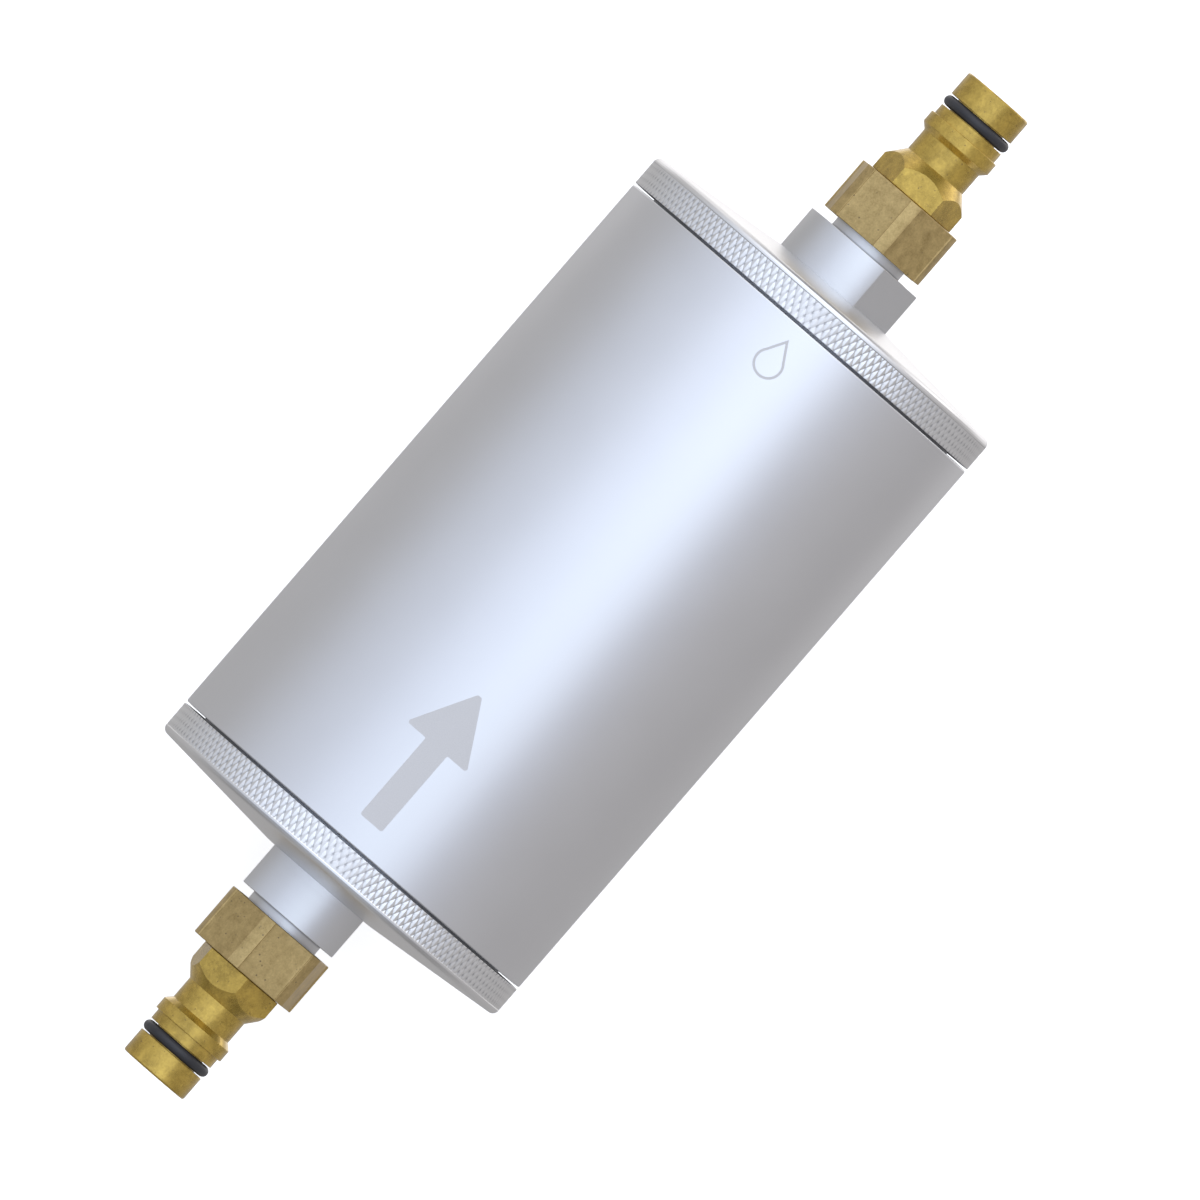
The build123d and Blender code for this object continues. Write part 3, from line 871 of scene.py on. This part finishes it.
def nut_section():
    """Angles and radii of the nut's section, with a rib at angle 0 and at every sixth of a turn."""
    top = Vector((sqrt(NUT_RIB_RADIUS ** 2 - NUT_RIB_HALF ** 2), NUT_RIB_HALF))
    foot_turn = acos(NUT_FLATS / 2 / NUT_CORNER_RADIUS)
    foot = Vector((NUT_CORNER_RADIUS, 0))
    foot.rotate(Matrix.Rotation(pi / 6 - foot_turn, 2))
    foot = Vector((foot.x, max(foot.y, NUT_RIB_HALF)))
    on_rib = Vector((NUT_RIB_RADIUS, 0)) @ Matrix.Rotation(-radians(3), 2)
    half = [(NUT_RIB_RADIUS, 0), tuple(on_rib), (*top, NUT_TOP_EDGE), (*foot, NUT_FOOT_EDGE)]
    for turn in range(10, 30, 4):
        reach = NUT_FLATS / 2 / cos(radians(30 - turn))
        half.append((reach * cos(radians(turn)), reach * sin(radians(turn))))
    half.append((NUT_FLATS / 2 * cos(radians(30)), NUT_FLATS / 2 * sin(radians(30))))
    mirrored = [(corner[0], -corner[1], *corner[2:]) for corner in reversed(half[1:-1])]
    sector = mirrored + half
    corners = []
    for side in range(6):
        turn = side * pi / 3
        for corner in sector:
            x, y = corner[:2]
            corners.append((x * cos(turn) - y * sin(turn), x * sin(turn) + y * cos(turn), *corner[2:]))
    return {atan2(point.y, point.x): point.length for point in rounded(corners)}


def end_inset(x, start, end, rounding):
    """How far a surface is drawn in at x, so that the edges at start and end are rounded."""
    depth = rounding - min(x - start, end - x)
    return rounding - sqrt(rounding ** 2 - min(depth, rounding) ** 2) if depth > 0 else 0


# %% Make the nuts
nut_limits = nut_section()


def nut_trim(x, radius, angle):
    """Keeps a point inside the nut's section, with its end edges rounded."""
    return min(radius, nut_limits[angle] - end_inset(x, NUT_START, NUT_END, EDGE))


def nut_outline():
    """The nut's half section through a rib."""
    steps = [EDGE * part for part in (0.0, 0.12, 0.35, 0.65, 1.0)]
    outside = [(NUT_START + step, NUT_RIB_RADIUS) for step in steps]
    outside += [(NUT_END - step, NUT_RIB_RADIUS) for step in reversed(steps)]
    inside = [
        (NUT_END, NUT_NECK, EDGE),
        (NUT_SHOULDER, NUT_NECK, EDGE),
        (NUT_SHOULDER, NUT_BORE),
        (NUT_START + NUT_CHAMFER, NUT_BORE),
        (NUT_START, NUT_BORE + NUT_CHAMFER),
    ]
    return rounded(outside + inside)


for end, move in ENDS.items():
    rings = spin(nut_outline(), sorted(nut_limits), nut_trim)
    nut = new_piece(f"{end}_union_nut", clean(skin(f"{end}_union_nut", rings), NUT_MERGE))
    nut.data.transform(Matrix.Rotation(NUT_TURN[end], 4, "X"))
    finish_piece(nut, f"{end}_nut", "forged_brass", [f"{end}_nut"], move)

# %% [markdown]
# ## Hose plugs
# The plug is turned from hexagon bar. Where the lathe cuts a cone over the hexagon, each flat ends
# in a curve, highest at its corners. A Boolean would leave that curve ragged, so each column of
# points gets its own place along the axis for the row where flat and cone meet.

# %% Plug sizes
PLUG_BORE = 4.5 * MM
FLANGE_RADIUS = 9.15 * MM
FLANGE_END = PLUG_START + 1.4 * MM
SHANK_RADIUS = 7.5 * MM
HEX_START = NUT_END + 0.1 * MM
HEX_FLATS = 18.0 * MM
HEX_CORNER = HEX_FLATS / 2 / cos(pi / 6)
HEX_EDGE = 0.15 * MM
CONE_END = HEX_START + 7.7 * MM
CONE_SLOPE = tan(radians(39.4))
GROOVE_RADIUS = 7.35 * MM
GROOVE_END = CONE_END + 5.1 * MM
COLLAR_START = GROOVE_END + 1.3 * MM
COLLAR_END = COLLAR_START + 2.7 * MM
COLLAR_RADIUS = 8.65 * MM
TIP_RADIUS = 8.0 * MM
SLOT_START = COLLAR_END + 2.3 * MM
SLOT_END = SLOT_START + 2.9 * MM
SLOT_FLOOR = 6.0 * MM
HEX_TURN = {"outlet": radians(120), "inlet": radians(79.5)}
PLUG_COLUMNS = 192
PLUG_SHARP = radians(18)
TIP_CHAMFER = 0.8 * MM


def hexagon(angle):
    """Radius of a hexagon of the plug's width, with a corner at angle 0."""
    off_flat = (angle % (pi / 3)) - pi / 6
    return HEX_FLATS / 2 / cos(off_flat)


# %% Make the plugs
def plug_outline():
    """The plug's half section. The hexagon's rows are marked by a radius above its corners."""
    over = 2 * HEX_CORNER
    foot = [(PLUG_START, PLUG_BORE, EDGE), (PLUG_START, FLANGE_RADIUS, EDGE)]
    foot += [(FLANGE_END, FLANGE_RADIUS, EDGE), (FLANGE_END, SHANK_RADIUS)]
    hexagon_rows = [(HEX_START, SHANK_RADIUS), (HEX_START, over), (HEX_START + SPOT, over)]
    hexagon_rows += [(HEX_START + HEX_EDGE, over), (CONE_END, over)]
    front = [
        (CONE_END, GROOVE_RADIUS),
        (CONE_END + EDGE, GROOVE_RADIUS),
        (GROOVE_END, GROOVE_RADIUS, 0.3 * MM),
        (COLLAR_START, COLLAR_RADIUS, EDGE),
        (COLLAR_END, COLLAR_RADIUS, EDGE),
        (COLLAR_END, TIP_RADIUS),
        (SLOT_START, TIP_RADIUS, EDGE / 2),
        (SLOT_START, SLOT_FLOOR),
        (SLOT_END, SLOT_FLOOR),
        (SLOT_END, TIP_RADIUS, EDGE / 2),
        (PLUG_END, TIP_RADIUS, 0.5 * MM),
        (PLUG_END, PLUG_BORE + TIP_CHAMFER, EDGE / 2),
        (PLUG_END - TIP_CHAMFER, PLUG_BORE),
    ]
    return rounded(foot + hexagon_rows + front, steps=4)


def plug_rings():
    """The plug's rings. Hexagon rows are brought to the hexagon, and the last to where the cone starts."""
    rings = []
    for x, radius in plug_outline():
        ring = []
        for column in range(PLUG_COLUMNS):
            angle = tau * column / PLUG_COLUMNS
            r, at = radius, x
            if radius > HEX_CORNER:
                r = hexagon(angle)
                from_face = x - HEX_START
                if from_face < HEX_EDGE:
                    r -= HEX_EDGE - sqrt(HEX_EDGE ** 2 - (HEX_EDGE - from_face) ** 2)
                if from_face > 2 * HEX_EDGE:
                    at = CONE_END - (r - GROOVE_RADIUS) / CONE_SLOPE
            ring.append(Vector((at, r * cos(angle), r * sin(angle))))
        rings.append(ring)
    return rings


for end, move in ENDS.items():
    plug = new_piece(f"{end}_hose_plug", skin(f"{end}_hose_plug", plug_rings()))
    plug.data.transform(Matrix.Rotation(HEX_TURN[end], 4, "X"))
    finish_piece(plug, f"{end}_plug", "turned_brass", [f"{end}_plug"], move, sharp=PLUG_SHARP)

# %% [markdown]
# ## O-rings
# Moulded O-rings are plain rings of round section, all made by one tree from their own CAD sizes.

# %% O-ring tree
def seal_tree():
    """A ring of round section about X."""
    tree, given = new_tree("o-ring", At=0.0, Radius=0.01, Section=0.002)
    centre_line = shape(tree, "CurvePrimitiveCircle", {"Resolution": 144, "Radius": given["Radius"]})
    thick = calc(tree, "DIVIDE", given["Section"], 2.0)
    section = shape(tree, "CurvePrimitiveCircle", {"Resolution": 20, "Radius": thick})
    ring = shape(tree, "CurveToMesh", {"Curve": centre_line, "Profile Curve": section})
    return end_tree(tree, laid_along_axis(tree, ring, given["At"]), given)


seal = seal_tree()
SEALS = {
    "outlet_cap_seal": "outlet_cap_lead",
    "inlet_cap_seal": "inlet_cap_lead",
    "outlet_plug_seal": "outlet_plug",
    "inlet_plug_seal": "inlet_plug",
    "spigot_seal_inner": "cartridge",
    "spigot_seal_outer": "cartridge",
}
for node, body in SEALS.items():
    low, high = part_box(node)
    section = high.x - low.x
    ring = new_piece(f"{node}_ring", bpy.data.meshes.new(node))
    run_tree(ring, seal, finishes["black_rubber"], At=(low.x + high.x) / 2, Radius=high.z - section / 2,
             Section=section)
    finish_piece(ring, body, "black_rubber", [node])

# %% [markdown]
# ## Outer net
# The cartridge is wrapped in an extruded plastic net that holds its fleece. The net is two sets of
# strands that wind opposite ways and are welded where they cross. A tube with a picture of a net
# would have no depth, so each set is one helix, copied round the axis.

# %% Net tree
def net_tree():
    """Two sets of helical strands about X that cross each other."""
    tree, given = new_tree(
        "net", Radius=0.032, Length=0.1, Turns=0.5,
        Strands=48, Thickness=0.0007,
    )
    thick = calc(tree, "DIVIDE", given["Thickness"], 2.0)
    section = shape(tree, "CurvePrimitiveCircle", {"Resolution": 6, "Radius": thick})
    share = calc(tree, "DIVIDE", shape(tree, "InputIndex"), given["Strands"])
    turn = vector_of(tree, 0.0, 0.0, times(tree, share, tau))
    both = tree.nodes.new("GeometryNodeJoinGeometry")
    for reverse in (False, True):
        lift = times(tree, given["Thickness"], 0.25 if reverse else -0.25)
        radius = plus(tree, given["Radius"], lift)
        helix = shape(tree, "CurveSpiral", {
            "Resolution": 64, "Rotations": given["Turns"], "Start Radius": radius,
            "End Radius": radius, "Height": given["Length"], "Reverse": reverse,
        })
        strand = shape(tree, "CurveToMesh", {"Curve": helix, "Profile Curve": section, "Fill Caps": True})
        points = shape(tree, "Points", {"Count": given["Strands"]})
        sources = {"Points": points, "Instance": strand, "Rotation": turn}
        tree.links.new(shape(tree, "InstanceOnPoints", sources), both.inputs[0])
    start = times(tree, given["Length"], -0.5)
    return end_tree(tree, laid_along_axis(tree, both.outputs[0], start), given)


# %% Weave the net
NET_INSET = 0.4 * MM
low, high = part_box("outer_net")
net = new_piece("cartridge_net", bpy.data.meshes.new("cartridge_net"))
run_tree(net, net_tree(), finishes["plastic_net"], Radius=high.z - NET_INSET,
         Length=(high.x - low.x) - NET_INSET, Turns=0.45, Strands=48, Thickness=0.5 * MM)
finish_piece(net, "cartridge", "plastic_net", ["outer_net"])
print("net in mm:", [round(size / MM, 2) for size in net.dimensions])

# %% [markdown]
# ## Marks on the tube
# A laser whitens the anodised skin. The tube carries a plain flow arrow that shows which way the
# water goes, and a plain drop. Each mark is a thin closed band a hair above the tube, cut in short
# steps so that it follows the tube's curve.

# %% Mark helpers
MARK_TOP = 0.015 * MM
MARK_FOOT = -0.03 * MM
SHARPEST = 0.35


def offset_loop(loop, width):
    """The loop moved inwards by a width, each point along its corner's middle. Past the sharpest
    corner that is allowed for, a point moves no further."""
    moved = []
    for index, here in enumerate(loop):
        before = (here - loop[index - 1]).normalized()
        after = (loop[(index + 1) % len(loop)] - here).normalized()
        normal = Vector((-before.y - after.y, before.x + after.x)).normalized()
        longer = 1 / max(SHARPEST, normal.dot(Vector((-before.y, before.x))))
        moved.append(here + normal * width * longer)
    return moved


def on_tube(point, height):
    """A point (x, y) of a flat drawing, laid on the top of the tube at a height above it."""
    radius = BODY_RADIUS + height
    angle = pi / 2 - point.y / BODY_RADIUS
    return Vector((point.x, radius * cos(angle), radius * sin(angle)))


def mark(name, loops):
    """A thin closed slab on the tube, as flat drawings between loops; a second loop is a hole."""
    work = bmesh.new()
    outer = [work.verts.new((*point, 0)) for point in loops[0]]
    if len(loops) == 1:
        work.faces.new(outer)
    else:
        inner = [work.verts.new((*point, 0)) for point in loops[1]]
        for index in range(len(outer)):
            after = (index + 1) % len(outer)
            work.faces.new((outer[index], outer[after], inner[after], inner[index]))
    reach = max(abs(point.y) for point in loops[0])
    for step in range(-int(reach / MM), int(reach / MM) + 1):
        everything = work.verts[:] + work.edges[:] + work.faces[:]
        bmesh.ops.bisect_plane(work, geom=everything, plane_co=(0, step * MM, 0), plane_no=(0, 1, 0))
    top = bmesh.ops.extrude_face_region(work, geom=work.faces[:])
    raised = [item for item in top["geom"] if isinstance(item, bmesh.types.BMVert)]
    for vert in work.verts:
        vert.co = on_tube(vert.co, MARK_TOP if vert in raised else MARK_FOOT)
    bmesh.ops.recalc_face_normals(work, faces=work.faces)
    mesh = bpy.data.meshes.new(name)
    work.to_mesh(mesh)
    work.free()
    finish_piece(new_piece(name, mesh), "housing", "anodised_aluminium", material=mark_finish)


# %% Draw the marks
ARROW_TAIL = -64.0 * MM
ARROW_NECK = -43.5 * MM
ARROW_TIP = -29.0 * MM
SHAFT_HALF = 2.9 * MM
HEAD_HALF = 8.2 * MM
lower = [(ARROW_TAIL, -SHAFT_HALF, 0.5 * MM), (ARROW_NECK, -SHAFT_HALF, 0.3 * MM)]
lower += [(ARROW_NECK, -HEAD_HALF, 0.5 * MM)]
upper = [(x, -y, rounding) for x, y, rounding in reversed(lower)]
mark("flow_arrow", [rounded([*lower, (ARROW_TIP, 0.0, 0.8 * MM), *upper])])
DROP_RADIUS = 3.3 * MM
DROP_CENTRE = 60.0 * MM
DROP_TIP = 6.4 * MM
DROP_LINE = 0.55 * MM
DROP_STEPS = 24
DROP_OPENING = radians(50)
DROP_SWEEP = tau - 2 * DROP_OPENING
drop = []
for step in range(DROP_STEPS + 1):
    turn = DROP_OPENING + step / DROP_STEPS * DROP_SWEEP
    drop.append(Vector((DROP_CENTRE + DROP_RADIUS * cos(turn), DROP_RADIUS * sin(turn))))
drop.append(Vector((DROP_CENTRE + DROP_TIP, 0)))
mark("drop", [drop, offset_loop(drop, DROP_LINE)])

# %% [markdown]
# ## Floor, light and camera
# The filter lies on a plain pale floor. The light is a white studio: a broad cool softbox overhead,
# a little to one side, over a neutral room that is brighter past the outlet than past the inlet. It
# is built as a world gradient, because rough metal shows mostly how bright each direction is, and a
# gradient gives that without noise. The light round the flow axis is a list of colours by degrees
# from straight up. The rest goes by how far a direction points along X, Y or Z, from -1 to 1.
# Metal doesn't reflect the floor, only the gradient below it.

# %% Floor
FLOOR_GLOW = 0.6
FLOOR_SIZE = 4
floor_material = bpy.data.materials.new("floor")
floor_material.use_nodes = True
floor_shader = floor_material.node_tree.nodes["Principled BSDF"]
floor_shader.inputs["Base Color"].default_value = (0.9, 0.9, 0.9, 1)
floor_shader.inputs["Roughness"].default_value = 0.9
floor_shader.inputs["Emission Color"].default_value = (1, 1, 1, 1)
floor_shader.inputs["Emission Strength"].default_value = FLOOR_GLOW
bpy.ops.mesh.primitive_plane_add(size=FLOOR_SIZE, location=(0, 0, -BODY_RADIUS))
floor_plane = bpy.context.object
floor_plane.name = "floor"
floor_plane.data.materials.append(floor_material)
floor_plane.visible_glossy = False
floor_plane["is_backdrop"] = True
print("floor at z", round(-BODY_RADIUS / MM, 1), "mm")

# %% World
LIGHT = [
    (-180, (0.44, 0.43, 0.43)),
    (-110, (0.51, 0.50, 0.50)),
    (-50, (0.76, 0.80, 0.90)),
    (-20, (1.00, 1.08, 1.26)),
    (9, (1.18, 1.29, 1.48)),
    (28, (1.09, 1.17, 1.35)),
    (38, (0.62, 0.63, 0.69)),
    (70, (0.52, 0.505, 0.51)),
    (115, (0.46, 0.445, 0.445)),
    (180, (0.44, 0.43, 0.43)),
]
ROOM = (0.43, 0.42, 0.42)
CONE_LIGHT = 2.4
WALL_LIGHT = 1.6
INLET_SHADE = 0.55
OUTLET_SHADE = 0.65
PANEL_LIGHT = 2.2
PANEL_DIRECTION = (0.69, -0.58, -0.41)
world = bpy.data.worlds.new("studio")
bpy.context.scene.world = world
world.use_nodes = True
sky = world.node_tree
direction = add(sky, "ShaderNodeTexCoord").outputs["Generated"]
dx, dy, dz = xyz_of(sky, direction)
around = calc(sky, "ARCTAN2", times(sky, dy, -1.0), dz)
ramp = add(sky, "ShaderNodeValToRGB", [spread(sky, around, 0.0, 1.0, -pi, pi)])
ramp.color_ramp.interpolation = "EASE"
for degree, color in LIGHT[1:-1]:
    step = ramp.color_ramp.elements.new((degree + 180) / 360)
    step.color = (*color, 1)
for end in (0, -1):
    ramp.color_ramp.elements[end].color = (*LIGHT[end][1], 1)
sideways = rises(sky, calc(sky, "ABSOLUTE", dx), 0.35, 0.95)
color = mix_in(sky, sideways, ramp.outputs[0], ROOM)

# %% World strength
straight_down = falls(sky, dz, -0.9, -0.6)
cone_light = times(sky, rises(sky, dx, 0.0, 0.3, CONE_LIGHT), straight_down)
near_axis = falls(sky, calc(sky, "ABSOLUTE", dy), 0.5, 0.9)
wall_edge = times(sky, falls(sky, dx, 0.86, 0.96), near_axis)
wall_light = times(sky, rises(sky, dx, 0.25, 0.8, WALL_LIGHT), wall_edge)
bright = calc(sky, "MAXIMUM", cone_light, wall_light)
inlet_side = rises(sky, dx, -0.97, -0.85, INLET_SHADE)
inlet_shade = times(sky, inlet_side, falls(sky, dx, -0.7, -0.25))
outlet_shade = rises(sky, dx, 0.86, 0.95, OUTLET_SHADE)
above = minus(sky, 1.0, falls(sky, dz, -0.45, -0.2))
dark = times(sky, plus(sky, inlet_shade, outlet_shade), above)
side = minus(sky, plus(sky, 1.0, bright), dark)
facing = add(sky, "ShaderNodeVectorMath", [direction, PANEL_DIRECTION], operation="DOT_PRODUCT")
panel = rises(sky, facing.outputs["Value"], 0.94, 0.99, PANEL_LIGHT)
background = sky.nodes["Background"]
sky.links.new(color, background.inputs["Color"])
sky.links.new(plus(sky, side, panel), background.inputs["Strength"])
print("world:", len(LIGHT), "steps of light around the flow axis")

# %% Camera
CAMERA_AT = (1.02 * MM, -5.58 * MM, 9.57)
CAMERA_TURN = radians(-49.115)
camera_data = bpy.data.cameras.new("camera")
camera_data.lens = 1400
camera_data.sensor_width = 36
camera_data.clip_end = 100
camera = bpy.data.objects.new("camera", camera_data)
camera.location = CAMERA_AT
camera.rotation_euler = (0, 0, CAMERA_TURN)
bpy.context.scene.collection.objects.link(camera)
bpy.context.scene.camera = camera
bpy.context.scene.view_settings.view_transform = "Standard"
bpy.context.scene.view_settings.look = "None"
print("camera", round(camera.location.z, 2), "m above the flow axis, lens", camera_data.lens, "mm")

# %% Finish
low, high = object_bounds()
sizes = {"cad": [list(cad_box[0]), list(cad_box[1])], "visual": [list(low), list(high)]}
print("visual box in mm:", [round(size / MM, 1) for size in high - low])
